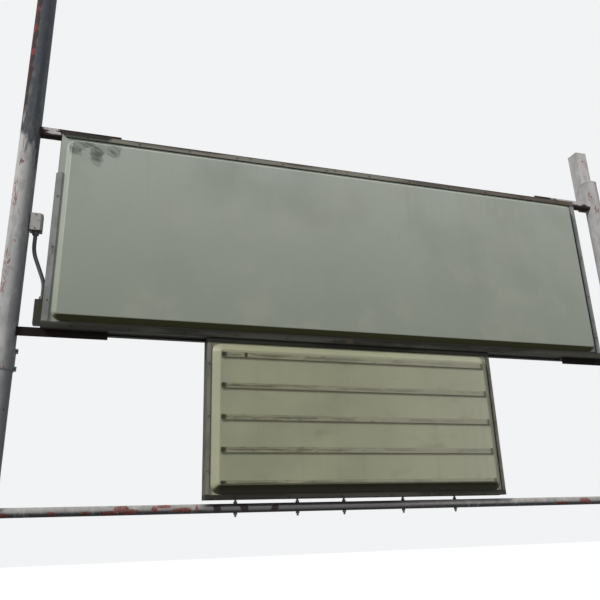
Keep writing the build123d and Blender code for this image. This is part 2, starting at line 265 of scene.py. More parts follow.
# Above 4 m the left post has lost its white coat, which ends raggedly, and is bluish grey. There its left
# side is painted near black, partly as dark streaking and partly as a painted shadow of leaves.
grey_top_with_left_shadow = fade(tree, facing, "X", 0.1, -0.75)
grey_top_with_left_shadow = lay_coats(tree, "#40454b", [(grey_top_with_left_shadow, "#1b1e21")])
ragged = add_node(tree, "Mapping", {"Vector": place, "Scale": repeats(35, 35, 160)})
ragged = add_node(tree, "TexNoise", {"Vector": ragged, "Scale": 1.0, "Detail": 4.0})
ragged = add_node(tree, "Math", {0: ragged, 1: 0.55, 2: level}, operation="MULTIPLY_ADD")
ragged = add_node(tree, "Math", {0: to_right, 1: 0.13, 2: ragged}, operation="MULTIPLY_ADD")
bare = add_node(tree, "MapRange", {"Value": ragged, "From Min": 4.02, "From Max": 4.09})
tall = fade(tree, place, "X", 0.5, -0.5)
bare = combine(tree, "MULTIPLY", bare, tall)
# The right post has kept more of its white, which is a little pink. Its sides that face left are painted
# greyer as shade.
whiter = fade(tree, place, "X", 1.93, 1.97, 0.9)
pinkish_shaded_left = fade(tree, facing, "X", -0.7, 0.1)
pinkish_shaded_left = lay_coats(tree, "#908f8e", [(pinkish_shaded_left, "#c3bebb")])
# The pipe is duller, and its underside is painted near black as shade.
is_pipe = add_node(tree, "Math", {0: level, 1: PIPE_LEVEL, 2: 0.030}, operation="COMPARE")
between = add_node(tree, "Math", {0: across, 1: 0.0, 2: 1.980}, operation="COMPARE")
is_pipe = combine(tree, "MULTIPLY", is_pipe, between)
pipe_underside_shade = fade(tree, facing, "Z", 0.1, -0.50, interpolation_type=SMOOTH)
pipe_coat_shaded_below = lay_coats(tree, "#94918e", [(pipe_underside_shade, "#333337")])
# Runs of dirty rain are about 25 mm wide and 600 mm long.
rain = patches(tree, place, (25, 25, 600), 4.0, 0.5, 0.75, 0.45)
# The coat is blotched: dull where it is thin, and whiter where a later coat has stayed on.
blotch = add_node(tree, "Mapping", {"Vector": place, "Scale": repeats(38, 38, 90)})
blotch = add_node(tree, "TexNoise", {"Vector": blotch, "Scale": 1.0, "Detail": 6.0, "Roughness": 0.6})
thin = add_node(tree, "MapRange", {"Value": blotch, "From Min": 0.50, "From Max": 0.38, "To Max": 0.35},
                interpolation_type=SMOOTH)
thick = add_node(tree, "MapRange", {"Value": blotch, "From Min": 0.55, "From Max": 0.68, "To Max": 0.35},
                 interpolation_type=SMOOTH)
coated = add_node(tree, "MapRange", {"Value": bare, "To Min": 1.0, "To Max": 0.2})
thick = combine(tree, "MULTIPLY", thick, coated)
# Under the board, from its left end to past its middle, the pipe is painted dark as the board's shadow on
# it, with some dirt. Only a band along its front is lighter, and its top and underside are painted shade.
right = fade(tree, place, "X", -0.99, -0.95)
left = fade(tree, place, "X", 0.5, 0.1)
low = fade(tree, place, "Z", BOARD_BOTTOM + 0.02, BOARD_BOTTOM, 0.9)
board_shadow_and_dirt = combine(tree, "MULTIPLY", right, left, low)
front = add_node(tree, "Math", {0: upwards, 1: -0.1, 2: 0.45}, operation="COMPARE")
shaded_coat = lay_coats(tree, "#2c2d30", [(front, "#6e696a")])
# Flakes break up into speckles about 8 mm across, and their outlines wander over 60 mm.
wander = add_node(tree, "TexNoise", {"Vector": place, "Scale": repeats(60)[0], "Detail": 6.0})
speckle = add_node(tree, "TexNoise", {"Vector": place, "Scale": repeats(8)[0], "Detail": 3.0})
frayed = add_node(tree, "Math", {0: speckle, 1: 0.55, 2: wander}, operation="MULTIPLY_ADD")
frayed = add_node(tree, "Math", {0: frayed, 1: 0.25}, operation="SUBTRACT")
flecks = patches(tree, place, (9, 9, 26), 5.0, 0.48, 0.60, 0.8)
placed = combine(tree, "MULTIPLY", fray_blots(tree, place, frayed, POST_FLAKES), flecks)
broken = add_node(tree, "Mapping", {"Vector": place, "Scale": repeats(30, 30, 120)})
broken = add_node(tree, "TexNoise", {"Vector": broken, "Scale": 1.0, "Detail": 4.0})
broken = add_node(tree, "Math", {0: broken, 1: 0.5, 2: frayed}, operation="MULTIPLY_ADD")
broken = add_node(tree, "Math", {0: broken, 1: 0.25}, operation="SUBTRACT")
streaks = combine(tree, "MULTIPLY", fray_blots(tree, place, broken, POST_STREAKS + PIPE_FLAKES), 0.85)
small = patches(tree, place, (100, 100, 150), 8.0, 0.71, 0.73)
flakes = combine(tree, "MAXIMUM", placed, streaks, small)
# The primer is rusting in specks. On the bare top it is dark rust and bright only in spots.
rusting = add_node(tree, "MapRange", {"Value": speckle, "From Min": 0.42, "From Max": 0.6})
bright = add_node(tree, "MapRange", {"Value": wander, "From Min": 0.54, "From Max": 0.64})
old_rust = lay_coats(tree, "#33201f", [(bright, "#7c2f27")])
rust = lay_coats(tree, "#8d4a42", [(rusting, "#452c2b"), (bare, old_rust)])
stains = fray_blots(tree, place, wander, PIPE_STAINS)
colour = lay_coats(tree, "#a5a4a2", [
    (cloud, "#949493"),
    (shaded_right_side, dust),
    (bare, grey_top_with_left_shadow),
    (whiter, pinkish_shaded_left),
    (is_pipe, pipe_coat_shaded_below),
    (rain, "#6d6e6a"),
    (thin, "#6a6766"),
    (thick, "#b4b1ae"),
    (board_shadow_and_dirt, shaded_coat),
    (stains, "#2e2524"),
    (flakes, rust),
])
roughness = add_node(tree, "MapRange", {"Value": flakes, "To Min": 0.68, "To Max": 0.9})
height = add_node(tree, "Math", {0: speckle, 1: 0.15}, operation="MULTIPLY")
height = add_node(tree, "Math", {0: height, 1: flakes}, operation="SUBTRACT")
end_finish(tree, colour, roughness, height, 0.4, gloss=0.25)
print("post paint")

# %% [markdown]
# ## Rusted angle
# The arms are hot-rolled angle. The two that carry the top still hold some of their paint, most of
# it at the right post, while the two below have gone dark brown with grime. Rust is not a metal any
# more, so the shader stays non-metallic and rough.

# %% Arm steel
ARM_PAINT = [
    ((1.900, -0.05, 3.917), (0.260, 0.10, 0.030)),
    ((-1.930, -0.02, 3.906), (0.050, 0.05, 0.014)),
    ((-1.900, -0.02, 3.884), (0.060, 0.05, 0.010)),
]
tree, place = start_finish("arm_steel", "rusted_angle")
wander = add_node(tree, "TexNoise", {"Vector": place, "Scale": repeats(45)[0], "Detail": 5.0})
pits = add_node(tree, "TexNoise", {"Vector": place, "Scale": repeats(8)[0], "Detail": 3.0})
bloom = add_node(tree, "MapRange", {"Value": wander, "From Min": 0.45, "From Max": 0.7},
                 interpolation_type=SMOOTH)
low = fade(tree, place, "Z", 3.0, 2.9, 0.8)
paint = fray_blots(tree, place, wander, ARM_PAINT)
worn = add_node(tree, "MapRange", {"Value": pits, "From Min": 0.56, "From Max": 0.68})
worn = lay_coats(tree, "#b8b4b4", [(worn, "#7d4840")])
colour = lay_coats(tree, "#2b2624", [(bloom, "#44312c"), (low, "#171210"), (paint, worn)])
end_finish(tree, colour, 0.85, pits, 0.4, gloss=0.12)
print("arm steel")

# %% [markdown]
# ## Retainer paint
# Retainers were factory-painted and have weathered to a dull grey. Rain washes the upright ones, but
# dirt stays on the top ones, which are tan with a black line along the edge. The bottom ones under
# the faces are painted almost black, as the shadow that falls on them with some dirt. Their
# undersides and left sides are painted darker as shade. The place on the sign says which bar is
# meant, and the surface's normal says which side of it.

# %% Retainer paint
tree, place = start_finish("retainer_paint", "weathered_retainer_paint")
level = add_node(tree, "SeparateXYZ", {"Vector": place}, out="Z")
facing = add_node(tree, "NewGeometry", out="Normal")
grain = add_node(tree, "TexNoise", {"Vector": place, "Scale": repeats(14)[0], "Detail": 3.0})
blotch = patches(tree, place, (140, 140, 140), 5.0, 0.4, 0.65)
is_board = fade(tree, place, "Z", UPPER_BOTTOM + 0.005, UPPER_BOTTOM - 0.005)
board = lay_coats(tree, "#77746a", [(blotch, "#625f56")])
# The top bar: olive grey at its left end, tan with darker stretches beyond, with a black edge.
stretch = patches(tree, place, (450, 110, 33), 5.0, 0.46, 0.6)
browner = fade(tree, place, "X", 0.2, 1.3, 0.7)
is_left = fade(tree, place, "X", -1.57, -1.60)
tan = lay_coats(tree, "#7f7b72", [(stretch, "#57534c"), (browner, "#554a42"), (is_left, "#4e5048")])
is_top = fade(tree, place, "Z", UPPER_TOP - 0.046, UPPER_TOP - 0.042)
edge_start = add_node(tree, "MapRange", {"Value": is_left, "To Min": UPPER_TOP - 0.010,
                                         "To Max": UPPER_TOP - 0.026})
edge = add_node(tree, "Math", {0: level, 1: edge_start}, operation="SUBTRACT")
edge = add_node(tree, "MapRange", {"Value": edge, "From Min": 0.0, "From Max": 0.008, "To Max": 0.85})
# The bottom bars of the two cabinets, and the board's top bar, are painted black as the shadow that falls
# on them, with some soot.
under_upper = add_node(tree, "Math", {0: level, 1: UPPER_BOTTOM + 0.019, 2: 0.018}, operation="COMPARE")
under_board = add_node(tree, "Math", {0: level, 1: BOARD_BOTTOM + 0.013, 2: 0.013}, operation="COMPARE")
board_top = add_node(tree, "Math", {0: level, 1: UPPER_BOTTOM - 0.015, 2: 0.015}, operation="COMPARE")
shadow_and_grime = combine(tree, "MAXIMUM", under_board, board_top)
shadow_and_grime = add_node(tree, "Math", {0: shadow_and_grime, 1: 0.95, 2: under_upper}, operation="MULTIPLY_ADD")
shadow_and_soot = patches(tree, place, (700, 90, 90), 4.0, 0.42, 0.58)
shadow_and_soot = lay_coats(tree, "#3f3e38", [(shadow_and_soot, "#24231e")])
stains = patches(tree, place, (70, 70, 200), 6.0, 0.62, 0.72, 0.6)
# Sides that look down or to the left are painted darker as shade.
down = fade(tree, facing, "Z", -0.4, -0.8)
aside = fade(tree, facing, "X", -0.4, -0.8, 0.8)
dark = combine(tree, "MAXIMUM", down, aside)
colour = lay_coats(tree, "#8b8c8a", [
    (blotch, "#73746f"),
    (is_board, board),
    (is_top, tan),
    (edge, "#2a2622"),
    (shadow_and_grime, shadow_and_soot),
    (stains, "#4b4034"),
    (dark, "#2c2a26"),
])
end_finish(tree, colour, 0.7, grain, 0.3, gloss=0.15)
print("retainer paint")

# %% [markdown]
# The cabinets' rails have the same paint, but they stand back from the retainers and are darker,
# with runs of dirt down them, and their undersides are painted near black as shade.

# %% Cabinet paint
tree, place = start_finish("cabinet_paint", "weathered_cabinet_paint")
facing = add_node(tree, "NewGeometry", out="Normal")
grain = add_node(tree, "TexNoise", {"Vector": place, "Scale": repeats(14)[0], "Detail": 3.0})
blotch = patches(tree, place, (200, 200, 200), 5.0, 0.4, 0.65)
rain = patches(tree, place, (40, 40, 500), 4.0, 0.52, 0.7, 0.7)
# Undersides are painted near black as shade.
down = fade(tree, facing, "Z", -0.4, -0.8)
colour = lay_coats(tree, "#5b594f", [(blotch, "#46443c"), (rain, "#34312b"), (down, "#1f1d1a")])
end_finish(tree, colour, 0.75, grain, 0.3, gloss=0.12)
print("cabinet paint")

# %% [markdown]
# ## Aged translucent plastic
# The pans are vacuum-formed plastic sheet. Years of sun have dulled them. The large face is a soft
# greenish grey cream, a little darker towards the bottom, clouded, with a soft painted shadow of
# leaves at its top left corner and thin grime below the top retainer. Where the return looks down it
# is painted dark olive, as shade with a little dirt. The surface keeps a little gloss and is slightly
# wavy between its edges, which is what makes a sheet look like a sheet.

# %% Upper face
LEAF_SHADOWS = [
    ((-1.775, -0.10, 3.765), (0.050, 0.05, 0.065)),
    ((-1.712, -0.10, 3.790), (0.050, 0.05, 0.030)),
    ((-1.652, -0.10, 3.742), (0.046, 0.05, 0.090)),
    ((-1.560, -0.10, 3.768), (0.046, 0.05, 0.050)),
]
tree, place = start_finish("upper_face", "aged_cream_plastic")
facing = add_node(tree, "NewGeometry", out="Normal")
fall = fade(tree, place, "Z", 3.80, 2.75)
cloud = patches(tree, place, (600, 600, 600), 4.0, 0.45, 0.7, 0.5)
patch = patches(tree, place, (230, 230, 230), 5.0, 0.5, 0.72, 0.3)
# Grime that has run down from the top retainer, in threads about 30 mm wide.
rain = patches(tree, place, (30, 30, 700), 4.0, 0.48, 0.85, 0.15)
high = fade(tree, place, "Z", 3.3, 3.85, least=0.25)
rain = combine(tree, "MULTIPLY", rain, high)
# The painted shadow of leaves lies in smears that lean down to the right, so its noise is turned about
# the Y axis.
lean = add_node(tree, "Mapping", {"Vector": place, "Rotation": (0, math.radians(-35), 0)})
smear = add_node(tree, "Mapping", {"Vector": lean, "Scale": repeats(90, 60, 24)})
smear = add_node(tree, "TexNoise", {"Vector": smear, "Scale": 1.0, "Detail": 3.0})
leaf_shadow = fray_blots(tree, place, smear, LEAF_SHADOWS)
smear = add_node(tree, "MapRange", {"Value": smear, "From Min": 0.40, "From Max": 0.68,
                                    "To Min": 0.30, "To Max": 0.90}, interpolation_type=SMOOTH)
leaf_shadow = combine(tree, "MULTIPLY", leaf_shadow, smear)
# The strip of flange below the raised part is painted dark as the shadow that the raised part casts on it,
# except in its left corner, which the sun reaches.
flange_shadow = fade(tree, place, "Z", UPPER_BOTTOM + 0.048, UPPER_BOTTOM + 0.045, 0.95)
corner = fade(tree, place, "X", -1.80, -1.77)
flange_shadow = combine(tree, "MULTIPLY", flange_shadow, corner)
# Where the return looks down it is painted dark olive as shade.
down = fade(tree, facing, "Z", -0.35, -0.62, 0.95)
colour = lay_coats(tree, "#a2a79d", [
    (fall, "#8b9084"),
    (cloud, "#888d83"),
    (patch, "#a19f8f"),
    (rain, "#6f7268"),
    (leaf_shadow, "#4a5349"),
    (flange_shadow, "#2f2e26"),
    (down, "#4f4e30"),
])
roughness = add_node(tree, "MapRange", {"Value": down, "To Min": 0.42, "To Max": 0.95})
wave = add_node(tree, "TexNoise", {"Vector": place, "Scale": repeats(550)[0], "Detail": 1.0})
end_finish(tree, colour, roughness, wave, 6.0, gloss=0.25)
print("upper face with", len(LEAF_SHADOWS), "mildew blots")

# %% [markdown]
# The letter board's pans are the same plastic, yellower, with faint upright stains, and paler
# towards the right. Their returns are painted almost black as shade where they look down, and
# browner at the foot.

# %% Lower face
tree, place = start_finish("lower_face", "yellowed_plastic")
facing = add_node(tree, "NewGeometry", out="Normal")
cloud = patches(tree, place, (480, 480, 480), 3.0, 0.38, 0.66)
brighter = fade(tree, place, "X", -0.2, 0.8, 0.7)
rain = patches(tree, place, (45, 45, 700), 4.0, 0.5, 0.85, 0.22)
patch = patches(tree, place, (200, 200, 110), 5.0, 0.56, 0.76, 0.35)
# The strip of flange below the raised part is painted dark as the raised part's cast shadow, except at its
# left corner.
flange_shadow = fade(tree, place, "Z", BOARD_BOTTOM + 0.031, BOARD_BOTTOM + 0.028, 0.95)
corner = fade(tree, place, "X", -0.90, -0.87)
flange_shadow = combine(tree, "MULTIPLY", flange_shadow, corner)
# Where the returns look down they are painted almost black as shade, browner near the foot.
toward_foot = fade(tree, place, "Z", BOARD_BOTTOM + 0.062, BOARD_BOTTOM + 0.034)
shade = lay_coats(tree, "#262515", [(toward_foot, "#46423a")])
down = fade(tree, facing, "Z", -0.30, -0.46, 0.95)
colour = lay_coats(tree, "#96967c", [
    (cloud, "#8c8d76"),
    (brighter, "#a3a48f"),
    (rain, "#7c7c66"),
    (patch, "#73735e"),
    (flange_shadow, "#2b2a20"),
    (down, shade),
])
roughness = add_node(tree, "MapRange", {"Value": down, "To Min": 0.45, "To Max": 0.95})
wave = add_node(tree, "TexNoise", {"Vector": place, "Scale": repeats(420)[0], "Detail": 1.0})
end_finish(tree, colour, roughness, wave, 4.0, gloss=0.25)
print("lower face")

# %% [markdown]
# ## Tracks, bolts, boxes and conduit
# The letter tracks are extruded plastic that was once clear and is now grey with dust, darkest where
# the dust lies thick. Bolts, nuts and the cover's screws are zinc plated and dull. The boxes are
# grey enamel, and the conduit has a smooth grey-blue jacket.

# %% Letter track
rib_low, rib_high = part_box("track_ribs_front")
RIB_HALF = 0.002
LAST_RIB = rib_low.z + RIB_HALF
FIRST_RIB = rib_high.z - RIB_HALF
FULL_TRACKS = 4
TRACK_PITCH = (FIRST_RIB - LAST_RIB) / FULL_TRACKS
SLIDER_X = -0.750

tree, place = start_finish("letter_track", "dusty_extruded_plastic")
along = add_node(tree, "SeparateXYZ", {"Vector": place}, out="X")
level = add_node(tree, "SeparateXYZ", {"Vector": place}, out="Z")
facing = add_node(tree, "NewGeometry", out="Normal")
dust = patches(tree, place, (170, 25, 25), 5.0, 0.42, 0.6)
thick = add_node(tree, "Mapping", {"Vector": place, "Scale": repeats(60, 17, 17)})
thick = add_node(tree, "TexNoise", {"Vector": thick, "Scale": 1.0, "Detail": 4.0})
smear = add_node(tree, "MapRange", {"Value": thick, "From Min": 0.54, "From Max": 0.72, "To Max": 0.7},
                 interpolation_type=SMOOTH)
# A line of dust lies along the middle of each track.
off_middle = add_node(tree, "Math", {0: level, 1: FIRST_RIB}, operation="SUBTRACT")
off_middle = add_node(tree, "Math", {0: off_middle, 1: -TRACK_PITCH / 2, 2: TRACK_PITCH / 2},
                      operation="WRAP")
off_middle = add_node(tree, "Math", {0: off_middle}, operation="ABSOLUTE")
line = add_node(tree, "MapRange", {"Value": off_middle, "From Min": 0.006, "From Max": 0.001,
                                   "To Max": 0.9}, interpolation_type=SMOOTH)
line = combine(tree, "MULTIPLY", line, dust)
cleaner = fade(tree, place, "X", -0.6, 0.4, 0.6)
# The undersides are painted pale, a painted glow that stands in for the light of the face behind
# coming through the plastic.
down = fade(tree, facing, "Z", -0.4, -0.8, 0.95)
# The stops at the left end and the slider are almost black in the middle, the right stops less so.
left_end = fade(tree, place, "X", -0.855, -0.868)
slider = add_node(tree, "Math", {0: along, 1: SLIDER_X, 2: 0.009}, operation="COMPARE")
on_first = add_node(tree, "Math", {0: level, 1: FIRST_RIB, 2: TRACK_PITCH / 2}, operation="COMPARE")
slider = combine(tree, "MULTIPLY", slider, on_first)
left_end = combine(tree, "MAXIMUM", left_end, slider)
core = add_node(tree, "MapRange", {"Value": off_middle, "From Min": 0.015, "From Max": 0.010,
                                   "To Min": 0.2, "To Max": 0.95})
left_end = combine(tree, "MULTIPLY", left_end, core)
right_end = fade(tree, place, "X", 0.785, 0.797, 0.6)
ends = combine(tree, "MAXIMUM", left_end, right_end)
colour = lay_coats(tree, "#8a886f", [
    (dust, "#78765f"),
    (smear, "#403e34"),
    (line, "#4f4d41"),
    (cleaner, "#939183"),
    (down, "#ebe9d2"),
    (ends, "#2b2a20"),
])
end_finish(tree, colour, 0.6, thick, 0.2, gloss=0.25)
print("letter track")

# %% Zinc, box enamel and conduit jacket
tree, place = start_finish("zinc_steel", "dull_zinc_plate")
tarnish = add_node(tree, "TexNoise", {"Vector": place, "Scale": repeats(16)[0], "Detail": 4.0})
spread = add_node(tree, "MapRange", {"Value": tarnish, "From Min": 0.45, "From Max": 0.6})
colour = lay_coats(tree, "#5e5d5d", [(spread, "#3b322b")])
end_finish(tree, colour, 0.55, tarnish, 0.1, metallic=0.7)

tree, place = start_finish("box_paint", "grey_box_enamel")
facing = add_node(tree, "NewGeometry", out="Normal")
speckle = add_node(tree, "TexNoise", {"Vector": place, "Scale": repeats(22)[0], "Detail": 5.0})
# The entry box is dark with dirt all over, and the junction box's sides other than its front are painted
# dark as shade.
low_box = fade(tree, place, "Z", 2.95, 2.9)
shaded = fade(tree, facing, "Y", -0.6, -0.2, 0.9)
chips = add_node(tree, "MapRange", {"Value": speckle, "From Min": 0.6, "From Max": 0.7, "To Max": 0.8})
colour = lay_coats(tree, "#a19f9c", [(low_box, "#34342c"), (shaded, "#2c2b2e"), (chips, "#55483a")])
end_finish(tree, colour, 0.6, speckle, 0.15, gloss=0.2)

tree, place = start_finish("conduit_jacket", "conduit_jacket")
dust = add_node(tree, "Mapping", {"Vector": place, "Scale": repeats(25, 25, 80)})
dust = add_node(tree, "TexNoise", {"Vector": dust, "Scale": 1.0, "Detail": 4.0})
spread = add_node(tree, "MapRange", {"Value": dust, "From Min": 0.42, "From Max": 0.64})
colour = lay_coats(tree, "#4f575c", [(spread, "#43484a")])
end_finish(tree, colour, 0.6, dust, 0.1, gloss=0.25)
print(len(finishes), "finishes")

# %% [markdown]
# ## Finishes on the CAD nodes
# The record names a material slot for each node, so one loop gives every node its finish.

# %% Assign the finishes
dressed = 0
for part in frame["record"]["subparts"]:
    node = nodes[part["node"]]
    finish = finishes[part["material_slot"]]
    for slot in node.material_slots:
        slot.material = finish
    if not node.material_slots:
        node.data.materials.append(finish)
    dressed += 1
print(dressed, "nodes dressed")

# %% [markdown]
# ## Hardware
# The CAD model holds the structure. What follows is the hardware that a hand finds all over the real
# sign: screws, bolts, nuts, stops and welds. Each kind is modelled once at the origin, with its seat
# on the XZ plane and its outer end towards the front, then copied to every place where the sign has
# one. The copies are joined into one piece, and its places are in its mesh.


# %% Helpers for pieces
def add_bar(vertices, radius, depth):
    """A round or hexagonal bar along Y, from the XZ plane to the front, alone in the selection."""
    bpy.ops.object.select_all(action="DESELECT")
    bpy.ops.mesh.primitive_cylinder_add(vertices=vertices, radius=radius, depth=depth,
                                        location=(0, -depth / 2, 0), rotation=(math.pi / 2, 0, 0))
    bpy.ops.object.transform_apply(location=True, rotation=True, scale=True)
    return bpy.context.object


def select_faces(piece, wanted):
    """In Edit Mode, select only the faces that pass a test on their centre and normal."""
    bpy.ops.object.mode_set(mode="EDIT")
    bpy.ops.mesh.select_mode(type="FACE")
    bpy.ops.mesh.select_all(action="DESELECT")
    mesh = bmesh.from_edit_mesh(piece.data)
    for face in mesh.faces:
        if wanted(face.calc_center_median(), face.normal):
            face.select_set(True)
    bmesh.update_edit_mesh(piece.data)


def chamfer_front(piece, size, segments=1):
    """Break the edge round the front end of a bar."""
    select_faces(piece, lambda centre, normal: normal.y < -0.9)
    bpy.ops.mesh.bevel(offset=size, segments=segments)
    bpy.ops.object.mode_set(mode="OBJECT")


def add_hexagon(flats, height):
    """A hexagonal head or nut with its outer corners chamfered."""
    head = add_bar(6, flats / math.sqrt(3), height)
    chamfer_front(head, flats * 0.09)
    return head


def add_washer(radius, thickness):
    """A round washer, or a screw's flange, with its front edge rounded."""
    washer = add_bar(32, radius, thickness)
    chamfer_front(washer, thickness * 0.45, segments=2)
    return washer


def join(pieces):
    """Join several meshes into one, and return it."""
    bpy.ops.object.select_all(action="DESELECT")
    for piece in pieces:
        piece.select_set(True)
    bpy.context.view_layer.objects.active = pieces[0]
    bpy.ops.object.join()
    return bpy.context.object


def copy_to(master, placings):
    """Copies of a master, each turned and moved by a matrix, joined into one piece."""
    copies = []
    for placing in placings:
        copy = master.copy()
        copy.data = master.data.copy()
        copy.data.transform(placing)
        bpy.context.collection.objects.link(copy)
        copies.append(copy)
    bpy.data.objects.remove(master)
    return join(copies)


def dress(piece, name, slot):
    """Name a piece, shade it, and give it its finish and its place on the sign's one body."""
    bpy.ops.object.select_all(action="DESELECT")
    piece.select_set(True)
    bpy.context.view_layer.objects.active = piece
    bpy.ops.object.shade_smooth_by_angle(angle=math.radians(32))
    piece.name = name
    piece.data.name = name
    piece.data.materials.clear()
    piece.data.materials.append(finishes[slot])
    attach(piece, "root")
    print(name, "has", len(piece.data.polygons), "faces")


TO_BACK = Matrix.Rotation(math.pi, 4, "Z")
TO_TOP = Matrix.Rotation(-math.pi / 2, 4, "X")

# %% [markdown]
# Hexagonal screws with a flange hold the retainers to the cabinets' rails, about one each foot. Each
# bar has its own even row, so the spacing is worked out from the bar's length. A flanged screw is a
# hexagonal head on a round flange. Each is turned differently and has the retainers' paint.

# %% Retainer screws
SCREW_SPACING = 0.305
SCREW_TURN = math.radians(37)
SEAT = 0.0002
screw = join([add_washer(radius=0.0062, thickness=0.0014), add_hexagon(flats=0.008, height=0.0050)])
rows = []
for name in nodes:
    if "_retainer_" not in name:
        continue
    low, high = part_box(name)
    is_back = "_back_" in name
    face = high.y - SEAT if is_back else low.y + SEAT
    upright = high.z - low.z > high.x - low.x
    length = high.z - low.z if upright else high.x - low.x
    count = max(2, round(length / SCREW_SPACING))
    middle = (low + high) / 2
    for number in range(count):
        step = length * ((number + 0.5) / count - 0.5)
        at = Vector((middle.x, face, middle.z + step))
        if not upright:
            at = Vector((middle.x + step, face, middle.z))
        turned = Matrix.Rotation(SCREW_TURN * number, 4, "Y")
        rows.append(Matrix.Translation(at) @ (TO_BACK if is_back else Matrix()) @ turned)
print(len(rows), "retainer screws")
dress(copy_to(screw, rows), "retainer_screws", "retainer_paint")

# %% [markdown]
# Two bolts with washers go down or up through each angle arm into the cabinet's rail. The heads lie
# on the leg that rests on the cabinet, behind the upright leg.

# %% Arm bolts
ARM_LEG_THICKNESS = 0.005
ARM_BOLT_SIDE = 0.006
ARM_BOLT_INSETS = (0.09, 0.27)
arm_bolt = join([add_washer(radius=0.012, thickness=0.0025), add_hexagon(flats=0.019, height=0.0100)])
placings = []
for side in ("left", "right"):
    cabinet_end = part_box("upper_rail_" + side)[0 if side == "left" else 1].x
    inwards = 1 if side == "left" else -1
    for level in ("top", "bottom"):
        low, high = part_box(f"arm_{level}_{side}")
        seat = low.z + ARM_LEG_THICKNESS if level == "top" else high.z - ARM_LEG_THICKNESS
        for inset in ARM_BOLT_INSETS:
            at = Vector((cabinet_end + inwards * inset, ARM_BOLT_SIDE, seat))
            turned = TO_TOP if level == "top" else TO_TOP.inverted()
            placings.append(Matrix.Translation(at) @ turned)
dress(copy_to(arm_bolt, placings), "arm_bolts", "zinc_steel")

# %% [markdown]
# A short bolt goes through each pair of lugs of the sleeve and draws it tight. Its head is in front
# and its nut, with a little thread past it, is behind.

# %% Sleeve bolts
SLEEVE_BOLT_FLATS = 0.010
SLEEVE_BOLT_EDGE = 0.006
LUG_HEIGHT = 0.024
LUG_HALF = 0.008
sleeve_low, sleeve_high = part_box("post_sleeve")
bolt_x = sleeve_high.x - SLEEVE_BOLT_EDGE
heads = []
nuts = []
for level in (sleeve_low.z + LUG_HEIGHT / 2, sleeve_high.z - LUG_HEIGHT / 2):
    heads.append(Matrix.Translation((bolt_x, -LUG_HALF, level)))
    nuts.append(Matrix.Translation((bolt_x, LUG_HALF, level)) @ TO_BACK)
bolt_head = copy_to(add_hexagon(SLEEVE_BOLT_FLATS, height=0.0042), heads)
nut = add_hexagon(SLEEVE_BOLT_FLATS, height=0.0050)
thread = add_bar(vertices=20, radius=0.0030, depth=0.0090)
chamfer_front(thread, size=0.0008)
dress(join([bolt_head, copy_to(join([nut, thread]), nuts)]), "sleeve_bolts", "zinc_steel")

# %% [markdown]
# Two slotted screws hold the junction box's cover. The slot is cut with two planes, and the strip
# between them is pushed down.

# %% Cover screws
COVER_SCREW_EDGE = 0.011
SLOT_HALF = 0.0006
SLOT_DEPTH = 0.0010
cover_screw = add_bar(vertices=32, radius=0.0042, depth=0.0026)
chamfer_front(cover_screw, size=0.0012, segments=3)
for offset in (-SLOT_HALF, SLOT_HALF):
    select_faces(cover_screw, lambda centre, normal: normal.y < -0.99)
    bpy.ops.mesh.bisect(plane_co=(0, 0, offset), plane_no=(0, 0, 1))
    bpy.ops.object.mode_set(mode="OBJECT")
select_faces(cover_screw, lambda centre, normal: normal.y < -0.99 and abs(centre.z) < SLOT_HALF)
bpy.ops.mesh.extrude_region_move(TRANSFORM_OT_translate={"value": (0, SLOT_DEPTH, 0)})
bpy.ops.object.mode_set(mode="OBJECT")
cover_low, cover_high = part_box("junction_box_cover")
cover_x = (cover_low.x + cover_high.x) / 2
placings = []
for level, degrees in ((cover_low.z + COVER_SCREW_EDGE, 20), (cover_high.z - COVER_SCREW_EDGE, -35)):
    at = Vector((cover_x, cover_low.y + SEAT, level))
    placings.append(Matrix.Translation(at) @ Matrix.Rotation(math.radians(degrees), 4, "Y"))
dress(copy_to(cover_screw, placings), "cover_screws", "zinc_steel")

# %% [markdown]
# At each end of the conduit a hexagonal gland nut goes round the box's hub, and a thin ring squeezes
# the jacket. The nut is a hexagonal bar with its outer corners chamfered, and the ring stands a
# little past it.

# %% Gland nuts
GLAND_FLATS = 0.036
GLAND_HEIGHT = 0.014
RING_RISE = 0.004
JACKET_RADIUS = 0.011
gland = add_bar(vertices=6, radius=GLAND_FLATS / math.sqrt(3), depth=GLAND_HEIGHT)
chamfer_front(gland, size=0.0025)
ring = add_bar(vertices=32, radius=0.0135, depth=GLAND_HEIGHT + RING_RISE)
chamfer_front(ring, size=0.0015, segments=2)
gland = join([gland, ring])
conduit_low, conduit_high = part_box("conduit")
upper_end = Vector((conduit_low.x + JACKET_RADIUS, 0, conduit_high.z))
lower_end = Vector((conduit_high.x - JACKET_RADIUS, 0, conduit_low.z))
placings = [Matrix.Translation(upper_end + Vector((0, 0, GLAND_HEIGHT))) @ TO_TOP.inverted(),
            Matrix.Translation(lower_end - Vector((0, 0, GLAND_HEIGHT))) @ TO_TOP]
dress(copy_to(gland, placings), "gland_nuts", "zinc_steel")

# %% [markdown]
# A moulded stop closes each end of a letter track, so that a sliding letter can't drop out. It is a
# block with rounded front edges and a sunk middle. The lowest track is less high, so its stops are
# too. One small block of the kind, a slider that has lost its letter, is left in the top track.

# %% Track end stops
STOP_WIDTH = 0.012
STOP_DEPTH = 0.0095
STOP_OVERHANG = 0.002
STOP_LAP = 0.001
STOP_SUNK = 0.001
TRACK_SEAT = 0.0003
TRACK_HEIGHT = 0.030
strip_low, strip_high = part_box("track_strips_front")
LAST_HEIGHT = LAST_RIB + TRACK_HEIGHT / 2 - strip_low.z
LAST_LEVEL = strip_low.z + LAST_HEIGHT / 2


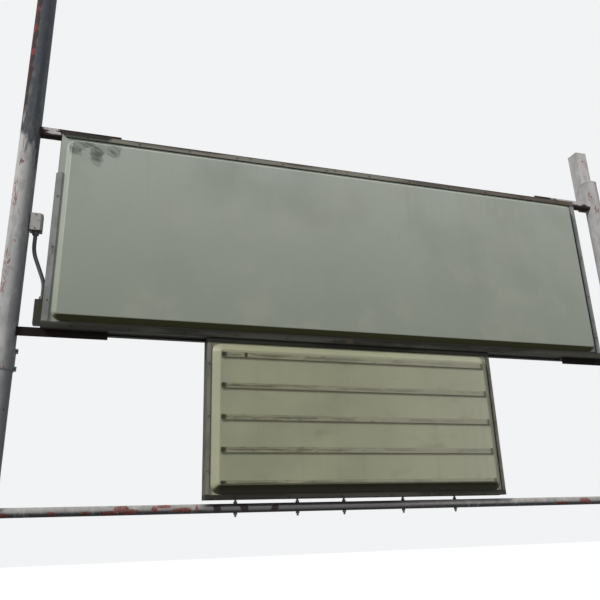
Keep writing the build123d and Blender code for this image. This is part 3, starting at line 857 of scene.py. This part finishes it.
def add_stop(height):
    """One end stop, its back on the XZ plane."""
    bpy.ops.object.select_all(action="DESELECT")
    bpy.ops.mesh.primitive_cube_add(size=1, location=(0, -STOP_DEPTH / 2, 0),
                                    scale=(STOP_WIDTH, STOP_DEPTH, height))
    bpy.ops.object.transform_apply(location=True, rotation=True, scale=True)
    stop = bpy.context.object
    chamfer_front(stop, size=0.0018, segments=3)
    select_faces(stop, lambda centre, normal: normal.y < -0.99 and centre.y < 0.001 - STOP_DEPTH)
    bpy.ops.mesh.inset(thickness=0.0012)
    bpy.ops.mesh.extrude_region_move(TRANSFORM_OT_translate={"value": (0, STOP_SUNK, 0)})
    bpy.ops.object.mode_set(mode="OBJECT")
    return stop


placings = []
last_placings = []
for face in ("front", "back"):
    strip_low, strip_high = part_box("track_strips_" + face)
    is_back = face == "back"
    seat = strip_low.y - TRACK_SEAT if is_back else strip_high.y + TRACK_SEAT
    turned = TO_BACK if is_back else Matrix()
    for end in (strip_low.x - STOP_LAP, strip_high.x + STOP_LAP):
        for number in range(FULL_TRACKS):
            level = FIRST_RIB - number * TRACK_PITCH
            placings.append(Matrix.Translation((end, seat, level)) @ turned)
        last_placings.append(Matrix.Translation((end, seat, LAST_LEVEL)) @ turned)
stops = join([copy_to(add_stop(TRACK_HEIGHT + 2 * STOP_OVERHANG), placings),
              copy_to(add_stop(LAST_HEIGHT + 2 * STOP_OVERHANG), last_placings)])
dress(stops, "track_stops", "letter_track")
slider_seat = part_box("track_strips_front")[1].y + TRACK_SEAT
slider_place = Matrix.Translation((SLIDER_X, slider_seat, FIRST_RIB))
dress(copy_to(add_stop(TRACK_HEIGHT - STOP_OVERHANG), [slider_place]), "track_slider", "letter_track")

# %% [markdown]
# ## Welds
# Weld metal freezes in ripples as the torch moves on. A round bead is a ring with a rippled surface,
# and a straight one is a thin bar cut into short lengths, its ends tapered and its surface rippled
# in the same way. Both are covered by the paint of what they join.

# %% Helpers for welds
BEAD_STEP = 0.005
ripple = bpy.data.textures.new("weld_ripple", "CLOUDS")
ripple.noise_scale = 0.007


def ripple_surface(piece, depth):
    """Push a bead's surface in and out by a fine cloud."""
    bpy.context.view_layer.objects.active = piece
    bpy.ops.object.modifier_add(type="DISPLACE")
    wave = piece.modifiers[-1]
    wave.texture = ripple
    wave.strength = depth
    bpy.ops.object.modifier_apply(modifier=wave.name)
    return piece


def add_weld_ring(radius, bead, placing):
    """A bead round a pipe, its axis along Z before it is placed."""
    bpy.ops.object.select_all(action="DESELECT")
    bpy.ops.mesh.primitive_torus_add(major_radius=radius, minor_radius=bead, major_segments=120,
                                     minor_segments=8)
    ring = ripple_surface(bpy.context.object, bead * 0.8)
    ring.data.transform(placing)
    return ring


def add_weld_bead(length, bead):
    """A straight bead along Y, from the XZ plane to the front."""
    bar = add_bar(8, bead, length)
    select_faces(bar, lambda centre, normal: abs(normal.y) < 0.5)
    bpy.ops.mesh.select_mode(type="EDGE")
    mesh = bmesh.from_edit_mesh(bar.data)
    for edge in mesh.edges:
        edge.select_set(abs(edge.verts[0].co.y - edge.verts[1].co.y) > length / 2)
    bmesh.update_edit_mesh(bar.data)
    bpy.ops.mesh.subdivide(number_cuts=int(length / BEAD_STEP))
    select_faces(bar, lambda centre, normal: abs(normal.y) > 0.9)
    bpy.ops.mesh.bevel(offset=bead * 0.6, segments=2)
    bpy.ops.object.mode_set(mode="OBJECT")
    return ripple_surface(bar, bead * 0.7)


print("weld helpers")

# %% [markdown]
# Rings go round the posts at the foot plates and under the caps, and round the ends of the cross
# pipe where it meets the posts.

# %% Weld rings
POST_RADIUS = 0.05715
PIPE_RADIUS = 0.02415
CAP = 0.006
POST_RING_RISE = 0.001
PIPE_RING_INSET = 0.003
rings = []
for side in ("left", "right"):
    low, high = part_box("post_" + side)
    centre_x = (low.x + high.x) / 2
    for bead, level in ((0.0045, low.z + POST_RING_RISE), (0.0020, high.z - CAP)):
        rings.append(add_weld_ring(POST_RADIUS, bead, Matrix.Translation((centre_x, 0, level))))
pipe_low, pipe_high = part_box("cross_pipe")
across_x = Matrix.Rotation(math.pi / 2, 4, "Y")
for end in (pipe_low.x + PIPE_RING_INSET, pipe_high.x - PIPE_RING_INSET):
    placing = Matrix.Translation((end, 0, PIPE_LEVEL)) @ across_x
    rings.append(add_weld_ring(PIPE_RADIUS, 0.0040, placing))
dress(join(rings), "weld_rings", "post_paint")

# %% [markdown]
# Each gusset has an upright bead on both sides against the post, and a level one on both sides along
# the foot plate. They are modelled once for one gusset and turned round the post by quarters.

# %% Gusset welds
GUSSET_HALF = 0.006
GUSSET_BEAD = 0.0030
BEAD_OFF = 0.0012
foot_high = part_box("post_left")[0].z
outwards = Matrix.Rotation(math.pi / 2, 4, "Z")
beads = []
# An upright bead and a level one: length, start out from the post and above the plate, direction.
for length, out, rise, turned in ((0.125, 0.001, 0.012, TO_TOP), (0.096, 0.010, BEAD_OFF, outwards)):
    sides = []
    for side in (-1, 1):
        at = Vector((POST_RADIUS + out, side * (GUSSET_HALF + BEAD_OFF), foot_high + rise))
        sides.append(Matrix.Translation(at) @ turned)
    beads.append(copy_to(add_weld_bead(length, GUSSET_BEAD), sides))
gusset_weld = join(beads)
placings = []
for side in ("left", "right"):
    low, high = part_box("post_" + side)
    centre = Matrix.Translation(((low.x + high.x) / 2, 0, 0))
    for quarter in range(4):
        placings.append(centre @ Matrix.Rotation(quarter * math.pi / 2, 4, "Z"))
dress(copy_to(gusset_weld, placings), "gusset_welds", "post_paint")

# %% [markdown]
# The arms are welded to the posts up the front of their upright legs, and the stub is welded on both
# sides of the line where it touches the post.

# %% Arm and stub welds
ARM_LEG = 0.050
ARM_BEAD = 0.0030
ARM_BEAD_START = 0.001
ARM_BEAD_OUT = 0.0006
ARM_BEAD_BACK = 0.0004
reach = math.sqrt(POST_RADIUS ** 2 - (ARM_LEG / 2) ** 2)
arm_bead = add_weld_bead(ARM_LEG - 2 * ARM_BEAD_START, ARM_BEAD)
placings = []
for side, inwards in (("left", 1), ("right", -1)):
    post_low, post_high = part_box("post_" + side)
    centre_x = (post_low.x + post_high.x) / 2
    for level in ("top", "bottom"):
        low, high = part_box(f"arm_{level}_{side}")
        out = centre_x + inwards * (reach + ARM_BEAD_OUT)
        at = Vector((out, low.y + ARM_BEAD_BACK, low.z + ARM_BEAD_START))
        placings.append(Matrix.Translation(at) @ TO_TOP)
dress(copy_to(arm_bead, placings), "arm_welds", "arm_steel")

STUB_BEAD = 0.0034
STUB_BEAD_START = 0.008
STUB_BEAD_END = 0.014
stub_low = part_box("post_stub")[0]
post_low, post_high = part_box("post_right")
centre_x = (post_low.x + post_high.x) / 2
lap = post_high.z - stub_low.z
stub_bead = add_weld_bead(lap - STUB_BEAD_START - STUB_BEAD_END, STUB_BEAD)
placings = []
# One bead lies at the stub's rounded left corner, and one in the gap right of the line of contact.
for x, y in ((stub_low.x + 0.0002, stub_low.y + 0.0024), (centre_x + 0.0125, stub_low.y - 0.0008)):
    placings.append(Matrix.Translation((x, y, stub_low.z + STUB_BEAD_START)) @ TO_TOP)
dress(copy_to(stub_bead, placings), "stub_welds", "post_paint")

# %% [markdown]
# ## The floor and the light
# The floor is a plain pale sheet. The camera sees it pale, but as the ground under the real sign
# throws up little light, it counts as darker for the light that bounces off it. One broad sun from
# the upper left gives the lit left sides and the dark undersides of the photograph, and an even sky
# fills the shade.


# %% Floor
def seen_directly(tree):
    """1 where the camera looks, also in a mirror or through a pane, and 0 for bounced light."""
    kinds = ("Camera", "Glossy", "Transmission")
    return combine(tree, "MAXIMUM", *[add_node(tree, "LightPath", out=f"Is {kind} Ray") for kind in kinds])


bpy.ops.object.select_all(action="DESELECT")
bpy.ops.mesh.primitive_plane_add(size=80, location=(0, 0, 0))
floor = bpy.context.object
floor.name = "floor"
tree = start_finish("floor", "pale_floor")[0]
paper = lay_coats(tree, "#4a4a47", [(seen_directly(tree), "#e4e6e6")])
paper = add_node(tree, "BsdfDiffuse", {"Color": paper})
add_node(tree, "OutputMaterial", {"Surface": paper})
floor.data.materials.append(finishes["floor"])
print("floor")

# %% World and sun
world = bpy.data.worlds.new("even_sky")
bpy.context.scene.world = world
world.use_nodes = True
tree = world.node_tree
tree.nodes.clear()
sky = add_node(tree, "Background", {"Color": linear("#f0f3f7"), "Strength": 0.85})
backdrop = add_node(tree, "Background", {"Color": linear("#f2f3f4"), "Strength": 1.0})
either = add_node(tree, "MixShader", {0: seen_directly(tree), 1: sky, 2: backdrop})
add_node(tree, "OutputWorld", {"Surface": either})

SUN_FROM = Vector((-0.75, -0.38, 0.60))
bpy.ops.object.light_add(type="SUN", location=(-6, -4, 6))
sun = bpy.context.object
sun.name = "soft_sun"
sun.rotation_euler = SUN_FROM.to_track_quat("Z", "Y").to_euler()
sun.data.energy = 3.0
sun.data.angle = math.radians(9)
sun.data.color = (1.0, 0.985, 0.96)
print("sun and sky")
